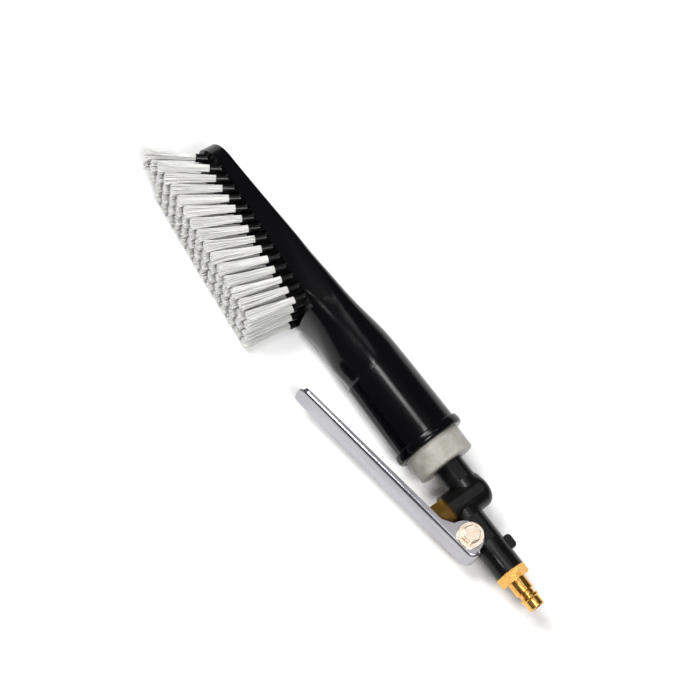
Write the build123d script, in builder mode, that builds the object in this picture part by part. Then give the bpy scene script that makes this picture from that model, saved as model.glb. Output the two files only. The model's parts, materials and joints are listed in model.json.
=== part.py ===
"""Hand-held bath and grooming brush, fed with water through a squeeze-lever valve.

Frame: X runs along the handle towards the hose plug, Y points out of the brush's back
(bristles and lever are on -Y), Z is up while the brush lies on its side. The origin is on
the hose plug's axis, where the plug's nose meets its locking ridge. All sizes are in mm.
"""
import os
from math import cos, radians, sin, sqrt, tan

from build123d import *

os.makedirs("parts", exist_ok=True)

# Hose plug, quick-coupling profile
nose_radius = 5.2
nose_length = 6.2
ridge_radius = 6.0
groove_radius = 4.75
shank_end = 14.2
plug_hex_across = 17.0
plug_hex_length = 6.5
plug_bore_radius = 3.6
spigot_radius = 6.6
plug_washer_radius = 8.4
spigot_length = 13.0
plug_washer_thickness = 1.4

# Valve body
tube_radius = 9.75
level_rise = 10.2
chamber_position = 71.1
chamber_radius = 10.8
chamber_bottom = -7.8
chamber_top = level_rise + 10.8
chamber_bore_radius = 7.5
stem_end = 123.8
outlet_bore_radius = 5.5
flat_width = 6.6
flat_start = 42.8
chamber_flat = 10.45

# Gland, pin and poppet
gland_across = 17.0
gland_bottom = -17.4
pin_radius = 2.5
running_gap = 0.05
seat_bottom = 4.4
seat_top = 7.4
poppet_radius = 6.0
poppet_top = 12.0
spring_wire_radius = 0.5
spring_coil_radius = 4.4

# Lever, bent from sheet, and its pivot
pivot_position = 51.0
pivot_level = -9.8
lever_open_angle = 8.0
lever_sheet = 1.5
cheek_clearance = 0.45
lever_reach = 134.5
lever_web_distance = 9.7
lever_flange_near = 4.4
lever_flange_tip = 3.5
lever_fold_radius = 2.4
lever_heel = 12.0
heel_radius = 5.5
bolt_radius = 3.0
sleeve_radius = 4.5
washer_radius = 8.2
washer_thickness = 1.6
boss_radius = 6.8

# Handle and the bush in its mouth
handle_radius = 20.5
lip_radius = 23.2
mouth_radius = 21.0
mouth_position = 110.2
lip_crest = 113.3
lip_start = 122.5
straight_end = 166.0
wall = 2.8
bush_radius = 18.8
bush_start = 94.6
bush_edge_radius = 1.4
bush_step = 120.0
bush_neck_radius = 17.2
bush_end = 140.0

# Brush head
face_start = 217.0
face_length = 124.0
head_width = 49.0
face_drop_start = 13.66
face_drop_tip = 3.8
block_inset = 3.2
block_rear = 1.2
ledge = 2.2
hollow_end = 319.0
block_thickness = 5.0
seal_thickness = 1.0

# Bristle tufts and the bosses that hold them
tuft_pitch = 7.3
row_margin = 6.5
row_first = 9.0
row_skew = 1.4
lean_first = 5.0
lean_tip = 34.0
lean_reach = 119.0
lean_power = 0.82
boss_outer_radius = 2.7
boss_length = 6.6
tuft_root_radius = 2.1
tuft_tip_radius = 3.35
tuft_length = 32.0
tuft_root_depth = 5.5

# Levels and planes worked out from the sizes above
tube_end = shank_end + plug_hex_length
face_slope = (face_drop_start - face_drop_tip) / face_length
head_half = head_width / 2
row_spacing = (head_width - 2 * row_margin) / 3
flat_depth = sqrt(tube_radius**2 - (flat_width / 2) ** 2)
face_plane = Plane(
    origin=(-face_start, level_rise - face_drop_start, 0),
    x_dir=(-1, face_slope, 0),
    z_dir=(-face_slope, -1, 0),
)
handle_axis = Axis((0, level_rise, 0), (1, 0, 0))
tip_centre = face_length - head_half
lever_plane = Plane(
    origin=(-pivot_position, pivot_level, 0),
    x_dir=(-cos(radians(lever_open_angle)), -sin(radians(lever_open_angle)), 0),
    z_dir=(0, 0, 1),
)
cheek_inner = tube_radius + cheek_clearance
lever_width = 2 * (cheek_inner + lever_sheet)
web_inner = lever_web_distance - lever_sheet
pin_offset = chamber_position - pivot_position
web_level = pivot_level - web_inner / cos(radians(lever_open_angle))
web_level = web_level - pin_offset * tan(radians(lever_open_angle))
dome_centre = web_level + pin_radius / cos(radians(lever_open_angle)) + 0.02
heel_inner_radius = heel_radius - lever_sheet

# Cross-sections of the body, evenly spaced from the straight handle to the tip:
# half width, centre height, rise above the centre, fall below it, and how square it is
neck_radius = handle_radius - 0.08
loft_start = straight_end - 0.5
loft_end = face_start + face_length + 4.5
sections = [
    (neck_radius, 0.0, neck_radius, neck_radius, 2.0),
    (20.8, -0.1, 19.7, 19.9, 2.1),
    (21.9, -0.5, 17.3, 18.4, 2.3),
    (23.8, -1.1, 14.2, 17.0, 2.8),
    (head_half + 1.3, -1.7, 12.3, 17.2, 3.3),
    (head_half + 2.1, -2.0, 11.5, 16.0, 3.1),
    (head_half + 2.7, -2.0, 10.8, 14.6, 3.0),
    (head_half + 2.8, -2.0, 10.0, 14.0, 3.0),
    (head_half + 2.8, -2.0, 9.0, 14.0, 3.0),
    (head_half + 2.8, -2.0, 8.1, 14.0, 3.0),
    (head_half + 2.8, -2.0, 7.4, 14.0, 3.0),
    (head_half + 2.8, -2.0, 6.6, 14.0, 3.0),
    (head_half + 2.8, -2.0, 4.4, 14.0, 3.0),
]
section_step = (loft_end - loft_start) / (len(sections) - 1)


def section_points(half_width, centre, rise, fall, power, shrink):
    """Points around one cross-section, as (Y, Z) pairs."""
    points = []
    for step in range(24):
        angle = radians(step * 15)
        up = sin(angle)
        across = cos(angle)
        height = rise - shrink if up >= 0 else fall - shrink
        y = abs(up) ** (2 / power) * height * (1 if up >= 0 else -1)
        z = abs(across) ** (2 / power) * (half_width - shrink) * (1 if across >= 0 else -1)
        points.append((level_rise + centre + y, z))
    return points


def head_outline(inset, rear):
    """Plan outline of the head on the face plane, drawn inwards by inset."""
    half = head_half - inset
    with BuildSketch(Plane.XY) as outline:
        with Locations(((rear + tip_centre) / 2, 0)):
            Rectangle(tip_centre - rear, 2 * half)
        with Locations((tip_centre, 0)):
            Circle(half)
    return outline.sketch


def lean_angle(along):
    """Lean of a tuft from the face's normal, growing towards the tip."""
    return lean_first + (lean_tip - lean_first) * (max(along, 0) / lean_reach) ** lean_power


def row_positions(row):
    """Distances along the face of one row's tufts. Each row starts a little nearer the handle."""
    across = abs(row_spacing * (row - 2.5))
    first = row_first - row_skew * (row - 1)
    limit = tip_centre + sqrt((head_half - block_inset - boss_outer_radius) ** 2 - across**2)
    return [first + tuft_pitch * i for i in range(18) if first + tuft_pitch * i <= limit]


def tuft_locations(row, positions):
    """Where one row's tufts stand, as locations on the face plane."""
    across = -row_spacing * (2.5 - row)
    return [Location((along, across, 0), (0, lean_angle(along), 0)) for along in positions]


def fold_edges(builder, level, least):
    """Edges of the lever's web at one level either side of the middle, beyond a least distance."""
    found = ShapeList()
    for edge in builder.edges():
        place = lever_plane.to_local_coords(edge @ 0.5)
        at_level = abs(abs(place.Z) - level) < 0.01
        if at_level and place.Y > least and place.X < lever_reach - 1:
            found.append(edge)
    return found


# Hollow of the handle and head, used to cut the brush body
with BuildPart() as hollow:
    for index, section in enumerate(sections):
        with BuildSketch(Plane.YZ.offset(-loft_start - section_step * index)):
            with BuildLine():
                Spline(*section_points(*section, wall), periodic=True)
            make_face()
    loft()
    with BuildSketch(face_plane.offset(-block_thickness - seal_thickness)):
        with Locations((98, 0)):
            Rectangle(188, 120)
    extrude(amount=60, mode=Mode.SUBTRACT)
    with BuildSketch(face_plane.offset(-block_thickness - seal_thickness - ledge)):
        with Locations((1.1, 0)):
            Rectangle(5.8, 120)
    extrude(amount=60, mode=Mode.SUBTRACT)
    with BuildSketch(face_plane.offset(-wall)):
        with Locations((-13.4, 0)):
            Rectangle(23.2, 120)
    extrude(amount=60, mode=Mode.SUBTRACT)
    with BuildSketch(face_plane.offset(-60)):
        with Locations((108, 0)):
            Rectangle(200, 120)
        add(head_outline(block_inset + 3, 6.0), mode=Mode.SUBTRACT)
    extrude(amount=90, mode=Mode.SUBTRACT)
    with BuildSketch(Plane.YZ.offset(-hollow_end)):
        Rectangle(200, 200)
    extrude(amount=-60, mode=Mode.SUBTRACT)
    with BuildSketch(Plane.YZ.offset(-straight_end)):
        with Locations((level_rise, 0)):
            Circle(handle_radius - wall)
    extrude(amount=straight_end - bush_end)

# One-piece moulded handle and head
with BuildPart() as brush_body:
    for index, section in enumerate(sections):
        with BuildSketch(Plane.YZ.offset(-loft_start - section_step * index)):
            with BuildLine():
                Spline(*section_points(*section, 0), periodic=True)
            make_face()
    loft()
    # Slightly tapered grip and the rolled lip round its mouth
    with BuildSketch(Plane.XY):
        with BuildLine():
            Line((-mouth_position, level_rise), (-mouth_position, level_rise + mouth_radius + 0.2))
            Spline(
                (-mouth_position, level_rise + mouth_radius + 0.2),
                (-mouth_position - 1.0, level_rise + lip_radius - 0.35),
                (-lip_crest, level_rise + lip_radius),
                (-lip_crest - 3.2, level_rise + lip_radius - 0.8),
                (-lip_start, level_rise + mouth_radius),
                tangents=((0, 1), (-1, 0)),
            )
            Line((-lip_start, level_rise + mouth_radius), (-straight_end, level_rise + handle_radius))
            Line((-straight_end, level_rise + handle_radius), (-straight_end, level_rise))
            Line((-straight_end, level_rise), (-mouth_position, level_rise))
        make_face()
    revolve(axis=handle_axis)
    # Flat side walls and half-round tip of the head
    with BuildSketch(face_plane.offset(-60)):
        with Locations((98, 0)):
            Rectangle(204, 120)
        add(head_outline(0, -6.0), mode=Mode.SUBTRACT)
    extrude(amount=90, mode=Mode.SUBTRACT)
    # Flat face on the bristle side
    with BuildSketch(face_plane):
        with Locations((100, 0)):
            Rectangle(200, 120)
    extrude(amount=40, mode=Mode.SUBTRACT)
    add(hollow.part, mode=Mode.SUBTRACT)
    # Seat for the bristle block
    with BuildSketch(face_plane.offset(-block_thickness - seal_thickness)):
        add(head_outline(block_inset - 0.1, block_rear - 0.1))
    extrude(amount=20, mode=Mode.SUBTRACT)
    # Mouth bored for the bush
    with BuildSketch(Plane.YZ.offset(-bush_step)):
        with Locations((level_rise, 0)):
            Circle(bush_radius + 0.03)
    extrude(amount=20, mode=Mode.SUBTRACT)
    with BuildSketch(Plane.YZ.offset(-144.5)):
        with Locations((level_rise, 0)):
            Circle(bush_neck_radius + 0.1)
    extrude(amount=30, mode=Mode.SUBTRACT)
brush_body.part.label = "brush_body"
export_step(brush_body.part, "parts/brush_body.step")

# Block that carries the tuft bosses and the water jets
with BuildPart(face_plane) as bristle_block:
    with BuildSketch(face_plane.offset(-block_thickness)):
        add(head_outline(block_inset, block_rear))
    extrude(amount=block_thickness)
    for row in (1, 2, 3, 4):
        with Locations(*tuft_locations(row, row_positions(row))):
            with Locations((0, 0, -1.6)):
                Cylinder(
                    boss_outer_radius,
                    boss_length + 1.6,
                    align=(Align.CENTER, Align.CENTER, Align.MIN),
                )
    for row in (1, 2, 3, 4):
        with Locations(*tuft_locations(row, row_positions(row))):
            with Locations((0, 0, boss_length - tuft_root_depth)):
                Cylinder(
                    tuft_root_radius,
                    tuft_root_depth + 1,
                    align=(Align.CENTER, Align.CENTER, Align.MIN),
                    mode=Mode.SUBTRACT,
                )
    for lane in (-1, 0, 1):
        for jet in range(7):
            with Locations((row_first + 1.8 + 1.9 * tuft_pitch * jet, lane * row_spacing, -3)):
                Cylinder(0.8, 12, mode=Mode.SUBTRACT)
bristle_block.part.label = "bristle_block"
export_step(bristle_block.part, "parts/bristle_block.step")

# Flat gasket between the block and the ledge in the head
with BuildPart() as block_seal:
    with BuildSketch(face_plane.offset(-block_thickness - seal_thickness)):
        add(head_outline(block_inset, block_rear))
        add(head_outline(block_inset + 2.6, block_rear + 2.6), mode=Mode.SUBTRACT)
    extrude(amount=seal_thickness)
block_seal.part.label = "block_seal"
export_step(block_seal.part, "parts/block_seal.step")

# Tufts, one node a row. The tufts at the corners and the tip are a node of their own
first_row = row_positions(1)
second_row = row_positions(2)
third_row = row_positions(3)
fourth_row = row_positions(4)

with BuildPart() as tuft:
    with Locations((0, 0, boss_length - tuft_root_depth)):
        Cylinder(tuft_root_radius, tuft_root_depth, align=(Align.CENTER, Align.CENTER, Align.MIN))
    with Locations((0, 0, boss_length)):
        Cone(
            tuft_root_radius,
            tuft_tip_radius,
            tuft_length,
            align=(Align.CENTER, Align.CENTER, Align.MIN),
        )

with BuildPart(face_plane) as tufts_row_1:
    with Locations(*tuft_locations(1, first_row[1:-1])):
        add(tuft.part)
tufts_row_1.part.label = "tufts_row_1"
export_step(tufts_row_1.part, "parts/tufts_row_1.step")

with BuildPart(face_plane) as tufts_row_2:
    with Locations(*tuft_locations(2, second_row[:-1])):
        add(tuft.part)
tufts_row_2.part.label = "tufts_row_2"
export_step(tufts_row_2.part, "parts/tufts_row_2.step")

with BuildPart(face_plane) as tufts_row_3:
    with Locations(*tuft_locations(3, third_row[:-1])):
        add(tuft.part)
tufts_row_3.part.label = "tufts_row_3"
export_step(tufts_row_3.part, "parts/tufts_row_3.step")

with BuildPart(face_plane) as tufts_row_4:
    with Locations(*tuft_locations(4, fourth_row[1:-1])):
        add(tuft.part)
tufts_row_4.part.label = "tufts_row_4"
export_step(tufts_row_4.part, "parts/tufts_row_4.step")

with BuildPart(face_plane) as tufts_corner:
    with Locations(
        *tuft_locations(1, [first_row[0], first_row[-1]]),
        *tuft_locations(2, [second_row[-1]]),
        *tuft_locations(3, [third_row[-1]]),
        *tuft_locations(4, [fourth_row[0], fourth_row[-1]]),
    ):
        add(tuft.part)
tufts_corner.part.label = "tufts_corner"
export_step(tufts_corner.part, "parts/tufts_corner.step")

# Grey bush that joins the valve's stem to the handle
with BuildPart() as handle_bush:
    with BuildSketch(Plane.YZ.offset(-bush_step)):
        with Locations((level_rise, 0)):
            Circle(bush_radius)
    extrude(amount=bush_step - bush_start)
    fillet(handle_bush.faces().sort_by(Axis.X)[-1].edges(), bush_edge_radius)
    with BuildSketch(Plane.YZ.offset(-bush_end)):
        with Locations((level_rise, 0)):
            Circle(bush_neck_radius)
    extrude(amount=bush_end - bush_step)
    with BuildSketch(Plane.YZ.offset(-bush_end + 6)):
        with Locations((level_rise, 0)):
            Circle(bush_neck_radius + 2)
            Circle(bush_neck_radius - 1.7, mode=Mode.SUBTRACT)
    extrude(amount=2.6, mode=Mode.SUBTRACT)
    with BuildSketch(Plane.YZ.offset(-stem_end - 1.5)):
        with Locations((level_rise, 0)):
            Circle(tube_radius + 0.03)
    extrude(amount=60, mode=Mode.SUBTRACT)
    with BuildSketch(Plane.YZ.offset(-bush_end - 1)):
        with Locations((level_rise, 0)):
            Circle(outlet_bore_radius)
    extrude(amount=30, mode=Mode.SUBTRACT)
handle_bush.part.label = "handle_bush"
export_step(handle_bush.part, "parts/handle_bush.step")

# O-ring between the bush and the handle's bore
with BuildPart() as bush_seal:
    with BuildSketch(Plane.XY):
        with Locations((-bush_end + 7.3, level_rise + bush_neck_radius - 0.8)):
            Circle(0.88)
    revolve(axis=handle_axis)
bush_seal.part.label = "bush_seal"
export_step(bush_seal.part, "parts/bush_seal.step")

# Flat washer that seals the end of the valve's stem in the bush
with BuildPart() as stem_seal:
    with BuildSketch(Plane.YZ.offset(-stem_end - 1.5)):
        with Locations((level_rise, 0)):
            Circle(tube_radius)
            Circle(outlet_bore_radius, mode=Mode.SUBTRACT)
    extrude(amount=1.5)
stem_seal.part.label = "stem_seal"
export_step(stem_seal.part, "parts/stem_seal.step")

# Moulded valve body: outlet stem, cross chamber, inlet tube and pivot boss
with BuildPart() as valve_body:
    with BuildSketch(Plane.YZ.offset(-stem_end)):
        with Locations((level_rise, 0)):
            Circle(tube_radius)
    extrude(amount=stem_end - chamber_position)
    with BuildSketch(Plane.YZ.offset(-chamber_position)):
        Circle(tube_radius)
    extrude(amount=chamber_position - tube_end)
    with BuildSketch(Plane.XZ.offset(-chamber_top)):
        with Locations((-chamber_position, 0)):
            Circle(chamber_radius)
    extrude(amount=chamber_top - chamber_bottom)
    fillet(valve_body.faces().sort_by(Axis.Y)[-1].edges(), 6.0)
    with BuildSketch(Plane.XY.offset(-cheek_inner + 0.1)):
        with Locations((-pivot_position, pivot_level)):
            Circle(boss_radius)
    extrude(amount=2 * cheek_inner - 0.2)
    # Flats moulded along both sides of the stem, the chamber and the inlet tube
    for side in (-1, 1):
        with Locations((-(stem_end + chamber_position + 10.5) / 2, level_rise, side * (flat_depth + 5))):
            Box(stem_end - chamber_position - 10.5, 12, 10, mode=Mode.SUBTRACT)
        with Locations((-(flat_start + chamber_position - 10.5) / 2, 0, side * (flat_depth + 5))):
            Box(chamber_position - 10.5 - flat_start, 12, 10, mode=Mode.SUBTRACT)
        with Locations((-chamber_position, level_rise, side * (chamber_flat + 5))):
            Box(12, 60, 10, mode=Mode.SUBTRACT)
    # Underside faced off round the gland nut
    with BuildSketch(Plane.XZ.offset(-chamber_bottom)):
        with Locations((-chamber_position, 0)):
            Circle(chamber_radius + 0.2)
    extrude(amount=10, mode=Mode.SUBTRACT)
    # Lug on the back of the inlet tube
    with BuildSketch(Plane.XY.offset(-3)):
        with BuildLine():
            Polyline((-39.8, 5), (-39.8, 12.2), (-38.2, 13.6), (-32.4, 13.6), (-30.8, 12.2), (-30.8, 5), close=True)
        make_face()
    extrude(amount=6)
    # Chamber bore, inlet, outlet and plug socket
    with BuildSketch(Plane.XZ.offset(-chamber_top + 2.8)):
        with Locations((-chamber_position, 0)):
            Circle(chamber_bore_radius)
    extrude(amount=60, mode=Mode.SUBTRACT)
    with BuildSketch(Plane.YZ.offset(-stem_end - 1)):
        with Locations((level_rise, 0)):
            Circle(outlet_bore_radius)
    extrude(amount=stem_end + 1 - chamber_position, mode=Mode.SUBTRACT)
    with BuildSketch(Plane.YZ.offset(-chamber_position)):
        Circle(plug_bore_radius)
    extrude(amount=chamber_position, mode=Mode.SUBTRACT)
    with BuildSketch(Plane.YZ.offset(-tube_end - spigot_length - 1)):
        Circle(spigot_radius)
    extrude(amount=40, mode=Mode.SUBTRACT)
    with BuildSketch(Plane.YZ.offset(-tube_end - plug_washer_thickness)):
        Circle(plug_washer_radius)
    extrude(amount=10, mode=Mode.SUBTRACT)
    # Bore of the pivot boss
    with BuildSketch(Plane.XY.offset(-20)):
        with Locations((-pivot_position, pivot_level)):
            Circle(sleeve_radius)
    extrude(amount=40, mode=Mode.SUBTRACT)
valve_body.part.label = "valve_body"
export_step(valve_body.part, "parts/valve_body.step")

# Brass sleeve that lines the pivot boss
with BuildPart() as pivot_sleeve:
    with BuildSketch(Plane.XY.offset(-cheek_inner + 0.05)):
        with Locations((-pivot_position, pivot_level)):
            Circle(sleeve_radius)
            Circle(bolt_radius + 0.02, mode=Mode.SUBTRACT)
    extrude(amount=2 * cheek_inner - 0.1)
pivot_sleeve.part.label = "pivot_sleeve"
export_step(pivot_sleeve.part, "parts/pivot_sleeve.step")

# Seat ring screwed into the chamber
with BuildPart() as seat_ring:
    with BuildSketch(Plane.XZ.offset(-seat_top)):
        with Locations((-chamber_position, 0)):
            Circle(chamber_bore_radius)
            Circle(4.2, mode=Mode.SUBTRACT)
    extrude(amount=seat_top - seat_bottom)
seat_ring.part.label = "seat_ring"
export_step(seat_ring.part, "parts/seat_ring.step")

# Rubber disc under the poppet
with BuildPart() as poppet_seal:
    with BuildSketch(Plane.XZ.offset(-seat_top - 1.55)):
        with Locations((-chamber_position, 0)):
            Circle(poppet_radius)
            Circle(pin_radius, mode=Mode.SUBTRACT)
    extrude(amount=1.5)
poppet_seal.part.label = "poppet_seal"
export_step(poppet_seal.part, "parts/poppet_seal.step")

# Brass poppet with a spigot that centres the spring
with BuildPart() as poppet:
    with BuildSketch(Plane.XZ.offset(-poppet_top)):
        with Locations((-chamber_position, 0)):
            Circle(poppet_radius)
    extrude(amount=poppet_top - seat_top - 1.55)
    with BuildSketch(Plane.XZ.offset(-poppet_top - 2.4)):
        with Locations((-chamber_position, 0)):
            Circle(3.2)
    extrude(amount=2.4)
    with BuildSketch(Plane.XZ.offset(-poppet_top)):
        with Locations((-chamber_position, 0)):
            Circle(pin_radius)
    extrude(amount=20, mode=Mode.SUBTRACT)
poppet.part.label = "poppet"
export_step(poppet.part, "parts/poppet.step")

# Push pin, domed where it meets the lever
with BuildPart() as push_pin:
    with BuildSketch(Plane.XZ.offset(-poppet_top)):
        with Locations((-chamber_position, 0)):
            Circle(pin_radius)
    extrude(amount=poppet_top - dome_centre)
    with Locations((-chamber_position, dome_centre, 0)):
        Sphere(pin_radius)
push_pin.part.label = "push_pin"
export_step(push_pin.part, "parts/push_pin.step")

# Return spring between the poppet and the roof of the chamber
spring_bottom = poppet_top + spring_wire_radius + 0.05
spring_height = chamber_top - 2.8 - 0.05 - spring_wire_radius - spring_bottom
with BuildPart() as return_spring:
    with BuildLine() as coil:
        Helix(
            spring_height / 3,
            spring_height,
            spring_coil_radius,
            center=(-chamber_position, spring_bottom, 0),
            direction=(0, 1, 0),
        )
    with BuildSketch(Plane(origin=coil.edges()[0] @ 0, z_dir=coil.edges()[0] % 0)):
        Circle(spring_wire_radius)
    sweep(is_frenet=True)
return_spring.part.label = "return_spring"
export_step(return_spring.part, "parts/return_spring.step")

# Brass gland nut under the chamber
with BuildPart() as gland_nut:
    with BuildSketch(Plane.XZ.offset(-chamber_bottom)):
        with Locations((-chamber_position, 0)):
            RegularPolygon(gland_across / 2, 6, major_radius=False, rotation=30)
    extrude(amount=chamber_bottom - gland_bottom)
    with BuildSketch(Plane.XY):
        with BuildLine():
            Polyline(
                (-chamber_position + 8.4, gland_bottom - 0.01),
                (-chamber_position + 12, gland_bottom - 0.01),
                (-chamber_position + 12, gland_bottom + 2.1),
                close=True,
            )
        make_face()
    revolve(axis=Axis((-chamber_position, 0, 0), (0, 1, 0)), mode=Mode.SUBTRACT)
    with BuildSketch(Plane.XZ.offset(4.0)):
        with Locations((-chamber_position, 0)):
            Circle(chamber_bore_radius)
    extrude(amount=-chamber_bottom - 4.0)
    with BuildSketch(Plane.XZ.offset(0)):
        with Locations((-chamber_position, 0)):
            Circle(4.4)
    extrude(amount=-gland_bottom - 5.0, mode=Mode.SUBTRACT)
    with BuildSketch(Plane.XZ.offset(0)):
        with Locations((-chamber_position, 0)):
            Circle(pin_radius + running_gap)
    extrude(amount=40, mode=Mode.SUBTRACT)
gland_nut.part.label = "gland_nut"
export_step(gland_nut.part, "parts/gland_nut.step")

# O-ring that wipes the pin, and the washer that holds it down
with BuildPart() as gland_seal:
    with BuildSketch(Plane.XZ.offset(-gland_bottom - 6.8)):
        with Locations((-chamber_position, 0)):
            Circle(4.4)
            Circle(pin_radius + 0.03, mode=Mode.SUBTRACT)
    extrude(amount=1.8)
gland_seal.part.label = "gland_seal"
export_step(gland_seal.part, "parts/gland_seal.step")

with BuildPart() as gland_washer:
    with BuildSketch(Plane.XZ.offset(-gland_bottom - 7.8)):
        with Locations((-chamber_position, 0)):
            Circle(4.38)
            Circle(pin_radius + running_gap, mode=Mode.SUBTRACT)
    extrude(amount=1.0)
gland_washer.part.label = "gland_washer"
export_step(gland_washer.part, "parts/gland_washer.step")

# Inside of the lever's channel, open towards the valve and closed by the heel
heel_bend = lever_web_distance - heel_radius
with BuildPart() as channel:
    with BuildSketch(lever_plane.offset(-cheek_inner)):
        with BuildLine():
            Line((-lever_heel + lever_sheet, -60), (-lever_heel + lever_sheet, heel_bend))
            RadiusArc(
                (-lever_heel + lever_sheet, heel_bend),
                (-lever_heel + heel_radius, web_inner),
                heel_inner_radius,
            )
            Line((-lever_heel + heel_radius, web_inner), (lever_reach + 20, web_inner))
            Line((lever_reach + 20, web_inner), (lever_reach + 20, -60))
            Line((lever_reach + 20, -60), (-lever_heel + lever_sheet, -60))
        make_face()
    extrude(amount=2 * cheek_inner)
    fillet(fold_edges(channel, cheek_inner, web_inner - 2.0), lever_fold_radius - lever_sheet)

# Lever: a channel of sheet steel, its web outwards and its cheeks on the pivot
with BuildPart() as lever:
    with BuildSketch(lever_plane.offset(-lever_width / 2)):
        with BuildLine():
            RadiusArc((-lever_heel, heel_bend), (-lever_heel + heel_radius, lever_web_distance), heel_radius)
            Line((-lever_heel + heel_radius, lever_web_distance), (lever_reach, lever_web_distance))
            Line((lever_reach, lever_web_distance), (lever_reach, lever_web_distance - lever_flange_tip))
            Line((lever_reach, lever_web_distance - lever_flange_tip), (19, lever_web_distance - lever_flange_near))
            Line((19, lever_web_distance - lever_flange_near), (12, 1.5))
            ThreePointArc((12, 1.5), (5.5, -6.6), (-1.5, -8.2))
            ThreePointArc((-1.5, -8.2), (-8.0, -3.5), (-9.8, 2.0))
            Line((-9.8, 2.0), (-lever_heel, heel_bend))
        make_face()
    extrude(amount=lever_width)
    fillet(fold_edges(lever, lever_width / 2, lever_web_distance - 2.0), lever_fold_radius)
    add(channel.part, mode=Mode.SUBTRACT)
    # Rounded corners of the tip
    with BuildSketch(Plane(origin=lever_plane.origin, x_dir=lever_plane.x_dir, z_dir=lever_plane.y_dir)):
        with Locations((lever_reach - 4, 0)):
            Rectangle(8.2, lever_width + 1)
        with Locations((lever_reach - 8, 0)):
            RectangleRounded(16, lever_width, 7.5, mode=Mode.SUBTRACT)
    extrude(amount=20, both=True, mode=Mode.SUBTRACT)
    with BuildSketch(Plane.XY.offset(-30)):
        with Locations((-pivot_position, pivot_level)):
            Circle(bolt_radius + running_gap)
    extrude(amount=60, mode=Mode.SUBTRACT)
lever.part.label = "lever"
export_step(lever.part, "parts/lever.step")

# Pivot bolt with a hexagon head on the upper side
head_level = lever_width / 2 + 0.05 + washer_thickness
with BuildPart() as pivot_bolt:
    with BuildSketch(Plane.XY.offset(head_level)):
        with Locations((-pivot_position, pivot_level)):
            RegularPolygon(5, 6, major_radius=False, rotation=12)
    extrude(amount=4)
    with BuildSketch(Plane.XY.offset(-head_level - 7)):
        with Locations((-pivot_position, pivot_level)):
            Circle(bolt_radius)
    extrude(amount=2 * head_level + 7)
pivot_bolt.part.label = "pivot_bolt"
export_step(pivot_bolt.part, "parts/pivot_bolt.step")

# Washers under the bolt's head and under the nut
with BuildPart() as pivot_washers:
    with BuildSketch(Plane.XY.offset(lever_width / 2 + 0.05), Plane.XY.offset(-head_level)):
        with Locations((-pivot_position, pivot_level)):
            Circle(washer_radius)
            Circle(bolt_radius + 0.02, mode=Mode.SUBTRACT)
    extrude(amount=washer_thickness)
pivot_washers.part.label = "pivot_washers"
export_step(pivot_washers.part, "parts/pivot_washers.step")

# Lock nut on the lower side
with BuildPart() as lock_nut:
    with BuildSketch(Plane.XY.offset(-head_level - 5.5)):
        with Locations((-pivot_position, pivot_level)):
            RegularPolygon(5, 6, major_radius=False, rotation=12)
            Circle(bolt_radius + 0.02, mode=Mode.SUBTRACT)
    extrude(amount=5.5)
lock_nut.part.label = "lock_nut"
export_step(lock_nut.part, "parts/lock_nut.step")

# Fibre washer in a recess of the tube's end, under the plug's hexagon
with BuildPart() as plug_washer:
    with BuildSketch(Plane.YZ.offset(-tube_end - plug_washer_thickness)):
        Circle(plug_washer_radius)
        Circle(spigot_radius, mode=Mode.SUBTRACT)
    extrude(amount=plug_washer_thickness)
plug_washer.part.label = "plug_washer"
export_step(plug_washer.part, "parts/plug_washer.step")

# Brass hose plug: nose, ridge, groove, shank, hexagon and spigot
with BuildPart() as hose_plug:
    with BuildSketch(Plane.XY):
        with BuildLine():
            Polyline(
                (nose_length, 0),
                (nose_length, nose_radius - 0.6),
                (nose_length - 0.6, nose_radius),
                (0, nose_radius),
                (-0.6, ridge_radius),
                (-2.0, ridge_radius),
                (-2.9, groove_radius),
                (-5.2, groove_radius),
                (-5.9, ridge_radius),
                (-shank_end, ridge_radius),
                (-shank_end, spigot_radius),
                (-tube_end - spigot_length + 1, spigot_radius),
                (-tube_end - spigot_length, spigot_radius - 1),
                (-tube_end - spigot_length, 0),
                close=True,
            )
        make_face()
    revolve(axis=Axis.X)
    with BuildSketch(Plane.YZ.offset(-shank_end - plug_hex_length)):
        RegularPolygon(plug_hex_across / 2, 6, major_radius=False, rotation=18)
    extrude(amount=plug_hex_length)
    with BuildSketch(Plane.XY):
        with BuildLine():
            Polyline(
                (-shank_end + 0.01, plug_hex_across / 2),
                (-shank_end + 0.01, plug_hex_across),
                (-shank_end - plug_hex_across / 4, plug_hex_across),
                close=True,
            )
        make_face()
    revolve(axis=Axis.X, mode=Mode.SUBTRACT)
    with BuildSketch(Plane.YZ.offset(-tube_end - spigot_length - 1)):
        Circle(plug_bore_radius)
    extrude(amount=80, mode=Mode.SUBTRACT)
hose_plug.part.label = "hose_plug"
export_step(hose_plug.part, "parts/hose_plug.step")
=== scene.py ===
"""Looks of the water-fed grooming brush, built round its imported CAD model. Metres, shared frame."""
import json
from math import cos, pi, radians, sin, sqrt

import bmesh
import bpy
import numpy as np
from mathutils import Matrix, Vector

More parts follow.
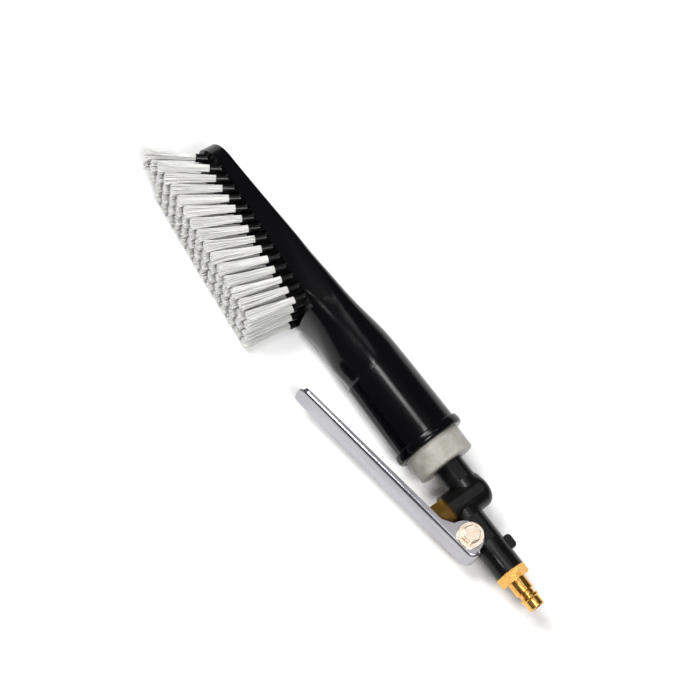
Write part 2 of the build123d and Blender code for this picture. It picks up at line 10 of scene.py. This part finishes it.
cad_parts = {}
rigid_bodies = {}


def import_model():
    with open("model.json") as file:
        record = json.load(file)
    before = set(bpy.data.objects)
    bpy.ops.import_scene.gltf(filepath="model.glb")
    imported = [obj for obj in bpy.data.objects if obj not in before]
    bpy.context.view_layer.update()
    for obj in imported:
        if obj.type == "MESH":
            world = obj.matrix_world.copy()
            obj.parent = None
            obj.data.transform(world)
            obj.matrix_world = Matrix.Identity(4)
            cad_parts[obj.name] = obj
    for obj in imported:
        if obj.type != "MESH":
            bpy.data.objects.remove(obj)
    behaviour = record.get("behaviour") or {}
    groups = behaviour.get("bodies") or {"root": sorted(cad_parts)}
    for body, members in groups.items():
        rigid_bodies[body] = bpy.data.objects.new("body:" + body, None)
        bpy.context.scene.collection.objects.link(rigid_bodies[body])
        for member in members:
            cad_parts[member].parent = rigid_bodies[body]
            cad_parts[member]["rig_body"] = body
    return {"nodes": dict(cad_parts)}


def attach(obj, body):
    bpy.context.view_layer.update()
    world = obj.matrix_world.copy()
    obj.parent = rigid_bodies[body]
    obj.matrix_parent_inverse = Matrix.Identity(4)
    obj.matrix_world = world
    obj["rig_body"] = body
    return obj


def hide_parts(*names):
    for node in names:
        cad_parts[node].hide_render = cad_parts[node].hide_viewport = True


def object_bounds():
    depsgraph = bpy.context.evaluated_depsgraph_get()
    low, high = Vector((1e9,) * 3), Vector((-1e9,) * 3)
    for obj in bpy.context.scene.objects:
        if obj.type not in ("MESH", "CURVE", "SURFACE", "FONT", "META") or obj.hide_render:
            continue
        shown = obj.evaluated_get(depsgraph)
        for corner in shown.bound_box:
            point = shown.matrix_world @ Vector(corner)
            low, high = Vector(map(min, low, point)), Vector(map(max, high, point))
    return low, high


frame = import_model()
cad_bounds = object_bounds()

# ---- Brush body ----
# One gloss-black moulding: a hollow round handle that flattens into the head. It comes from a
# polished mould, so it is glossy, with only a faint waviness where the plastic shrank.
weld_distance = 2e-6
shortest_edge = 1e-6
flat_angle = radians(0.4)
narrow_face = 0.0002


class Finish:
    """A material with one Principled shader, and noises that vary its colour, gloss and relief."""

    def __init__(self, name):
        self.material = bpy.data.materials.new(name)
        self.material.use_nodes = True
        self.nodes = self.material.node_tree.nodes
        self.link = self.material.node_tree.links.new
        self.shader = self.nodes["Principled BSDF"].inputs

    def fix(self, socket, value):
        """A value that is the same all over the surface."""
        self.shader[socket].default_value = value

    def noise(self, scale, detail=3.0, stretch=(1, 1, 1)):
        """Noise on Object coordinates, stretched along the shared frame's axes."""
        coordinates = self.nodes.new("ShaderNodeTexCoord")
        mapping = self.nodes.new("ShaderNodeMapping")
        mapping.inputs["Scale"].default_value = stretch
        noise = self.nodes.new("ShaderNodeTexNoise")
        noise.inputs["Scale"].default_value = scale
        noise.inputs["Detail"].default_value = detail
        self.link(coordinates.outputs["Object"], mapping.inputs["Vector"])
        self.link(mapping.outputs["Vector"], noise.inputs["Vector"])
        return noise.outputs["Fac"]

    def tint(self, source, span, low_colour, high_colour):
        """Base colour from one colour to another, over a span of the source."""
        blend = self.nodes.new("ShaderNodeValToRGB")
        stops = blend.color_ramp.elements
        stops[0].position, stops[1].position = span
        stops[0].color = (*low_colour, 1)
        stops[1].color = (*high_colour, 1)
        self.link(source, blend.inputs["Fac"])
        self.link(blend.outputs["Color"], self.shader["Base Color"])

    def vary_roughness(self, source, low, high):
        """Roughness that follows the source between two values."""
        spread = self.nodes.new("ShaderNodeMapRange")
        spread.inputs["To Min"].default_value = low
        spread.inputs["To Max"].default_value = high
        self.link(source, spread.inputs["Value"])
        self.link(spread.outputs["Result"], self.shader["Roughness"])

    def relief(self, source, depth, strength):
        """Bump of a given depth in metres."""
        bump = self.nodes.new("ShaderNodeBump")
        bump.inputs["Distance"].default_value = depth
        bump.inputs["Strength"].default_value = strength
        self.link(source, bump.inputs["Height"])
        self.link(bump.outputs["Normal"], self.shader["Normal"])


def finished_copy(node, name, edge, finish, segments=2, sharp_angle=32):
    """Copy of a CAD node in its place, with merged faces, broken edges and smooth shading.

    Edges beside a face narrower than narrow_face stay as they are, because the narrowest face
    limits how far every edge of the piece can be broken.
    """
    source = frame["nodes"][node]
    mesh = source.data.copy()
    mesh.name = name
    if mesh.has_custom_normals:
        mesh.attributes.remove(mesh.attributes["custom_normal"])
    shape = bmesh.new()
    shape.from_mesh(mesh)
    bmesh.ops.remove_doubles(shape, verts=shape.verts, dist=weld_distance)
    bmesh.ops.dissolve_degenerate(shape, edges=shape.edges, dist=shortest_edge)
    bmesh.ops.dissolve_limit(
        shape, angle_limit=flat_angle, verts=shape.verts, edges=shape.edges, delimit={"SHARP"}
    )
    for face in shape.faces:
        face.smooth = True
    bevel_weight = shape.edges.layers.float.new("bevel_weight_edge")
    for edge_line in shape.edges:
        wide = all(
            2 * face.calc_area() > narrow_face * face.calc_perimeter()
            for face in edge_line.link_faces
        )
        if wide and edge_line.is_manifold and edge_line.calc_face_angle() > radians(sharp_angle):
            edge_line[bevel_weight] = 1.0
    shape.to_mesh(mesh)
    shape.free()
    mesh.set_sharp_from_angle(angle=radians(sharp_angle))
    mesh.materials.clear()
    mesh.materials.append(finish.material)
    piece = bpy.data.objects.new(name, mesh)
    bpy.context.scene.collection.objects.link(piece)
    bevel = piece.modifiers.new("broken_edges", "BEVEL")
    bevel.width = edge
    bevel.segments = segments
    bevel.limit_method = "WEIGHT"
    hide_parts(node)
    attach(piece, source["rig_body"])


gloss_black = Finish("gloss_black")
waviness = gloss_black.noise(38, detail=2.0, stretch=(0.4, 1, 1))
scuffs = gloss_black.noise(420, detail=4.0, stretch=(1, 3, 3))
gloss_black.tint(waviness, (0.35, 0.7), (0.0014, 0.0013, 0.0018), (0.0026, 0.0024, 0.0034))
gloss_black.vary_roughness(scuffs, 0.13, 0.24)
gloss_black.fix("Specular IOR Level", 0.2)
gloss_black.relief(waviness, 0.00012, 0.35)
finished_copy(
    "brush_body", "brush_body_moulding", 0.0005, gloss_black, sharp_angle=28
)

# ---- Bristle block ----
# Black moulding set into the head, with a stub under each tuft and small water jets between them.
# It is less polished than the body.
satin_black = Finish("satin_black")
block_grain = satin_black.noise(900)
satin_black.tint(block_grain, (0.3, 0.7), (0.0015, 0.0015, 0.0018), (0.0035, 0.0035, 0.004))
satin_black.fix("Roughness", 0.27)
satin_black.fix("Specular IOR Level", 0.25)
satin_black.relief(block_grain, 0.00003, 0.4)
finished_copy("bristle_block", "bristle_block_moulding", 0.0003, satin_black)

# ---- Bristle tufts ----
# Each tuft is a bundle of stiff crimped nylon bristles, folded over an anchor and driven into its
# stub. The free ends flare and are trimmed a little unevenly. Four rows lean towards the tip.
tuft_rows = ("tufts_row_1", "tufts_row_2", "tufts_row_3", "tufts_row_4", "tufts_corner")
bristles_in_tuft = 130
bristle_radius = 0.000175
bristle_sides = 4
bristle_points = 5
bristle_seed = 7
tip_taper_start = 0.8
tip_taper = 0.55
anchor_depth = 0.0045
tuft_root = 0.0021
tuft_flare = 0.0038
flare_power = 1.7
flare_spread = (0.85, 1.15)
trim_spread = 0.0013
trim_crown = 0.0009
crimp_size = 0.00016
crimp_places = (0.0, 0.33, 0.68, 1.0)

nylon = Finish("bristle_nylon")
shade = nylon.nodes.new("ShaderNodeAttribute")
shade.attribute_name = "shade"
nylon.tint(shade.outputs["Fac"], (0.0, 1.0), (0.74, 0.735, 0.71), (0.93, 0.925, 0.90))
nylon.fix("Roughness", 0.42)
nylon.fix("Subsurface Weight", 0.12)
nylon.fix("Subsurface Radius", (0.002, 0.002, 0.0018))
nylon.fix("Subsurface Scale", 0.5)


def tuft_frames(node):
    """Root point, axis and length of each tuft of a CAD node, from the shape of its solids."""
    shape = bmesh.new()
    shape.from_mesh(frame["nodes"][node].data)
    bmesh.ops.remove_doubles(shape, verts=shape.verts, dist=weld_distance)
    left = set(shape.verts)
    tufts = []
    while left:
        stack = [left.pop()]
        island = list(stack)
        while stack:
            for edge_line in stack.pop().link_edges:
                for vert in edge_line.verts:
                    if vert in left:
                        left.discard(vert)
                        stack.append(vert)
                        island.append(vert)
        points = np.array([v.co for v in island])
        centre = points.mean(0)
        spread = np.linalg.svd(points - centre, full_matrices=False)[2][0]
        axis = spread if spread[1] < 0 else -spread
        along = (points - centre) @ axis
        tufts.append((centre + axis * along.min(), axis, float(np.ptp(along))))
    shape.free()
    return sorted(tufts, key=lambda tuft: tuft[0][0])


def bristle_tree():
    """Geometry Nodes: a round bristle along each path of a tuft, with a tapered tip."""
    tree = bpy.data.node_groups.new("bristle_tufts", "GeometryNodeTree")
    sockets = tree.interface.new_socket
    sockets("Geometry", in_out="INPUT", socket_type="NodeSocketGeometry")
    sockets("Bristle radius", in_out="INPUT", socket_type="NodeSocketFloat")
    sockets("Sides", in_out="INPUT", socket_type="NodeSocketInt")
    sockets("Seed", in_out="INPUT", socket_type="NodeSocketInt")
    sockets("Material", in_out="INPUT", socket_type="NodeSocketMaterial")
    sockets("Geometry", in_out="OUTPUT", socket_type="NodeSocketGeometry")
    add = tree.nodes.new
    link = tree.links.new
    entry = add("NodeGroupInput")
    leave = add("NodeGroupOutput")
    to_curve = add("GeometryNodeMeshToCurve")
    smooth = add("GeometryNodeCurveSplineType")
    smooth.spline_type = "CATMULL_ROM"
    resample = add("GeometryNodeResampleCurve")
    resample.inputs["Count"].default_value = bristle_points
    circle = add("GeometryNodeCurvePrimitiveCircle")
    along = add("GeometryNodeSplineParameter")
    taper = add("ShaderNodeMapRange")
    taper.inputs["From Min"].default_value = tip_taper_start
    taper.inputs["To Min"].default_value = 1.0
    taper.inputs["To Max"].default_value = tip_taper
    radius = add("GeometryNodeSetCurveRadius")
    sweep = add("GeometryNodeCurveToMesh")
    sweep.inputs["Fill Caps"].default_value = True
    own_shade = add("FunctionNodeRandomValue")
    own_shade.data_type = "FLOAT"
    store = add("GeometryNodeStoreNamedAttribute")
    store.data_type = "FLOAT"
    store.domain = "CURVE"
    store.inputs["Name"].default_value = "shade"
    realize = add("GeometryNodeRealizeInstances")
    paint = add("GeometryNodeSetMaterial")
    link(entry.outputs["Geometry"], to_curve.inputs["Mesh"])
    link(to_curve.outputs["Curve"], smooth.inputs["Curve"])
    link(smooth.outputs["Curve"], resample.inputs["Curve"])
    link(entry.outputs["Seed"], own_shade.inputs["Seed"])
    link(resample.outputs["Curve"], store.inputs["Geometry"])
    link(own_shade.outputs[1], store.inputs["Value"])
    link(store.outputs["Geometry"], radius.inputs["Curve"])
    link(along.outputs["Factor"], taper.inputs["Value"])
    link(taper.outputs["Result"], radius.inputs["Radius"])
    link(entry.outputs["Sides"], circle.inputs["Resolution"])
    link(entry.outputs["Bristle radius"], circle.inputs["Radius"])
    link(radius.outputs["Curve"], sweep.inputs["Curve"])
    link(circle.outputs["Curve"], sweep.inputs["Profile Curve"])
    link(sweep.outputs["Mesh"], realize.inputs["Geometry"])
    link(realize.outputs["Geometry"], paint.inputs["Geometry"])
    link(entry.outputs["Material"], paint.inputs["Material"])
    link(paint.outputs["Geometry"], leave.inputs["Geometry"])
    return tree


def bristle_paths(node, chance):
    """One line of four points for each bristle of a node's tufts: root, two bends and tip."""
    verts = []
    edges = []
    for root, axis, length in tuft_frames(node):
        side = np.cross(axis, (0.0, 0.0, 1.0))
        side /= np.linalg.norm(side)
        other = np.cross(axis, side)
        for _ in range(bristles_in_tuft):
            spin = chance.uniform(0, 2 * pi)
            reach = sqrt(chance.uniform(0, 1))
            out = side * cos(spin) + other * sin(spin)
            start = root + axis * anchor_depth + out * tuft_root * reach
            cut = chance.uniform(0.0, trim_spread) + trim_crown * reach**2
            trim = length - anchor_depth - cut
            spread = (tuft_flare - tuft_root) * reach * chance.uniform(*flare_spread)
            first = len(verts)
            for part in crimp_places:
                bend = spread * part**flare_power
                crimp = (side * chance.normal() + other * chance.normal()) * crimp_size * (part > 0)
                verts.append(start + axis * trim * part + out * bend + crimp)
            edges += [(place, place + 1) for place in range(first, len(verts) - 1)]
    return verts, edges


bristles = bristle_tree()
socket_names = {
    item.name: item.identifier
    for item in bristles.interface.items_tree
    if item.in_out == "INPUT"
}
chance = np.random.default_rng(11)
for row in tuft_rows:
    verts, edges = bristle_paths(row, chance)
    paths = bpy.data.meshes.new(row + "_paths")
    paths.from_pydata([tuple(v) for v in verts], edges, [])
    carrier = bpy.data.objects.new(row + "_paths", paths)
    bpy.context.scene.collection.objects.link(carrier)
    growth = carrier.modifiers.new("bristles", "NODES")
    growth.node_group = bristles
    growth[socket_names["Bristle radius"]] = bristle_radius
    growth[socket_names["Sides"]] = bristle_sides
    growth[socket_names["Seed"]] = bristle_seed
    growth[socket_names["Material"]] = nylon.material
    depsgraph = bpy.context.evaluated_depsgraph_get()
    tuft_mesh = bpy.data.meshes.new_from_object(carrier.evaluated_get(depsgraph))
    tuft_mesh.name = row + "_bristles"
    bpy.data.objects.remove(carrier)
    tuft_piece = bpy.data.objects.new(row + "_bristles", tuft_mesh)
    bpy.context.scene.collection.objects.link(tuft_piece)
    for polygon in tuft_mesh.polygons:
        polygon.use_smooth = True
    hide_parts(row)
    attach(tuft_piece, "brush")

# ---- Handle bush ----
# Light grey bush in the handle's mouth. It is moulded from reground plastic, so its colour is
# mottled, and its outer edge is rounded.
bush_grey = Finish("bush_grey")
mottle = bush_grey.noise(190, detail=5.0)
bush_grey.tint(mottle, (0.3, 0.72), (0.30, 0.285, 0.25), (0.43, 0.415, 0.375))
bush_grey.fix("Roughness", 0.42)
bush_grey.relief(mottle, 0.0001, 0.4)
finished_copy("handle_bush", "handle_bush_moulding", 0.0006, bush_grey, segments=3)

# ---- Valve body ----
# Glass-filled black nylon, moulded in one piece with its stem, chamber, tube and pivot boss. The
# mould was spark-eroded, which leaves a fine matt grain.
grained_black = Finish("grained_black")
grain = grained_black.noise(2600, detail=4.0)
wear = grained_black.noise(130, detail=4.0)
grained_black.tint(wear, (0.35, 0.75), (0.0012, 0.0012, 0.0012), (0.004, 0.004, 0.0038))
grained_black.vary_roughness(wear, 0.22, 0.36)
grained_black.fix("Specular IOR Level", 0.3)
grained_black.relief(grain, 0.00006, 0.8)
finished_copy(
    "valve_body", "valve_body_moulding", 0.0002, grained_black, sharp_angle=14
)

# ---- Brass gland nut, hose plug and inner brass ----
# Turned from hexagon bar. The lathe leaves fine rings round each piece's own axis, and handling
# leaves the brass slightly stained.


def paint_nodes(names, finish):
    """Give a finish to CAD nodes that are shown as they are."""
    for name in names:
        materials = frame["nodes"][name].data.materials
        materials.clear()
        materials.append(finish.material)


def turned_brass(name, axis):
    """Brass with turning rings square to a given axis of the shared frame."""
    brass = Finish(name)
    stain = brass.noise(140)
    brass.tint(stain, (0.3, 0.75), (0.72, 0.37, 0.07), (0.88, 0.52, 0.16))
    brass.vary_roughness(stain, 0.16, 0.34)
    brass.fix("Metallic", 1.0)
    coordinates = brass.nodes.new("ShaderNodeTexCoord")
    rings = brass.nodes.new("ShaderNodeTexWave")
    rings.wave_type = "BANDS"
    rings.bands_direction = axis
    rings.inputs["Scale"].default_value = 900
    rings.inputs["Distortion"].default_value = 0.4
    brass.link(coordinates.outputs["Object"], rings.inputs["Vector"])
    brass.relief(rings.outputs["Fac"], 0.00001, 0.35)
    return brass


plug_brass = turned_brass("plug_brass", "X")
gland_brass = turned_brass("gland_brass", "Y")
finished_copy("hose_plug", "hose_plug_turned", 0.0003, plug_brass)
finished_copy("gland_nut", "gland_nut_turned", 0.0004, gland_brass)
paint_nodes(("pivot_sleeve", "seat_ring", "poppet", "gland_washer"), gland_brass)

# ---- Seals ----
# Black nitrile rings and gaskets, dulled by a faint bloom, and a red fibre washer under the hose
# plug. All are squeezed between their neighbours, and hardly show.
nitrile = Finish("nitrile")
bloom = nitrile.noise(700)
nitrile.tint(bloom, (0.3, 0.8), (0.008, 0.008, 0.008), (0.03, 0.03, 0.03))
nitrile.fix("Roughness", 0.6)
nitrile.relief(bloom, 0.00004, 0.5)
paint_nodes(("block_seal", "bush_seal", "stem_seal", "poppet_seal", "gland_seal"), nitrile)

fibre = Finish("vulcanised_fibre")
flecks = fibre.noise(1200, detail=4.0)
fibre.tint(flecks, (0.3, 0.7), (0.12, 0.02, 0.012), (0.25, 0.06, 0.04))
fibre.fix("Roughness", 0.7)
paint_nodes(("plug_washer",), fibre)

# ---- Push pin and return spring ----
# Ground stainless pin, and a spring wound from stainless wire. Both work inside the chamber, and
# only the pin's end shows, under the lever.
stainless = Finish("stainless")
grind = stainless.noise(900, detail=2.0, stretch=(1, 8, 1))
stainless.tint(grind, (0.3, 0.7), (0.55, 0.55, 0.56), (0.72, 0.72, 0.73))
stainless.fix("Metallic", 1.0)
stainless.fix("Roughness", 0.25)
stainless.relief(grind, 0.00001, 0.3)
paint_nodes(("push_pin", "return_spring"), stainless)

# ---- Lever ----
# Folded from 1.5 mm sheet steel and bright zinc plated. Rolling left faint lines along it, and the
# plating shines unevenly.
bright_zinc = Finish("bright_zinc")
clouding = bright_zinc.noise(75, detail=4.0, stretch=(0.35, 1, 1))
rolling = bright_zinc.noise(300, stretch=(0.05, 4, 4))
bright_zinc.tint(clouding, (0.3, 0.75), (0.29, 0.285, 0.315), (0.43, 0.425, 0.45))
bright_zinc.vary_roughness(clouding, 0.18, 0.36)
bright_zinc.fix("Metallic", 1.0)
bright_zinc.relief(rolling, 0.00003, 0.35)
finished_copy("lever", "lever_plated", 0.0003, bright_zinc)

# ---- Pivot bolt, washers and lock nut ----
# M6 fasteners in yellow zinc, whose film varies a little in hue. The bolt's head has its corners
# turned off.
yellow_zinc = Finish("yellow_zinc")
film = yellow_zinc.noise(260, detail=2.0)
yellow_zinc.tint(film, (0.3, 0.7), (0.80, 0.62, 0.46), (0.92, 0.82, 0.72))
yellow_zinc.fix("Metallic", 1.0)
yellow_zinc.fix("Roughness", 0.26)
yellow_zinc.relief(film, 0.00002, 0.3)
for fastener, edge in (("pivot_bolt", 0.0005), ("pivot_washers", 0.0003), ("lock_nut", 0.0005)):
    finished_copy(fastener, fastener + "_plated", edge, yellow_zinc)

# ---- Floor, lights and camera ----
# A plain pale floor under the head's side wall, soft lights as in a small product studio, and a
# camera that looks down on the brush from beyond its hose plug.
floor_reach = 4
lowest = cad_bounds[0][2]
floor_corners = [
    (x * floor_reach, y * floor_reach, lowest) for x, y in ((-1, -1), (1, -1), (1, 1), (-1, 1))
]
floor_mesh = bpy.data.meshes.new("floor")
floor_mesh.from_pydata(floor_corners, [], [(0, 1, 2, 3)])
floor = bpy.data.objects.new("floor", floor_mesh)
bpy.context.scene.collection.objects.link(floor)
pale = Finish("pale_floor")
pale.fix("Base Color", (0.93, 0.93, 0.93, 1))
pale.fix("Roughness", 0.9)
pale.fix("Specular IOR Level", 0.0)
floor_mesh.materials.append(pale.material)

world = bpy.data.worlds.new("studio")
world.use_nodes = True
background = world.node_tree.nodes["Background"]
background.inputs["Color"].default_value = (1, 1, 1, 1)
background.inputs["Strength"].default_value = 0.09
bpy.context.scene.world = world
bpy.context.scene.view_settings.view_transform = "Standard"


def soft_light(name, place, aim, size, size_y, radiance):
    """Rectangular soft light of a given radiance, aimed at a point."""
    light = bpy.data.lights.new(name, "AREA")
    light.shape = "RECTANGLE"
    light.size = size
    light.size_y = size_y
    light.energy = radiance * pi * size * size_y
    lamp = bpy.data.objects.new(name, light)
    turn = (Vector(aim) - Vector(place)).to_track_quat("-Z", "Y")
    lamp.matrix_world = Matrix.Translation(place) @ turn.to_matrix().to_4x4()
    bpy.context.scene.collection.objects.link(lamp)


# The strip draws the streak along the handle, the card shines on the bolt head and the valve's
# flats, and the two side lights fill the rest.
middle = (-0.17, 0.0, 0.0)
soft_light("strip", (-0.47, -0.145, 1.6), (-0.47, -0.145, 0), 0.19, 0.3, 26)
soft_light("card", (-0.11, 0.53, 1.6), (-0.11, 0.53, 0), 0.26, 0.34, 2.8)
soft_light("plug_side", (0.75, -0.5, 1.9), middle, 0.8, 0.8, 16)
soft_light("tip_side", (-1.2, -0.5, 1.9), middle, 0.8, 0.8, 16)

camera_data = bpy.data.cameras.new("camera")
camera_data.sensor_width = 36
camera_data.lens = 144.65
camera = bpy.data.objects.new("camera", camera_data)
camera.location = (0.0830, -0.5522, 1.5896)
camera.rotation_euler = (radians(18.974), radians(-9.846), radians(52.185))
bpy.context.scene.collection.objects.link(camera)
bpy.context.scene.camera = camera
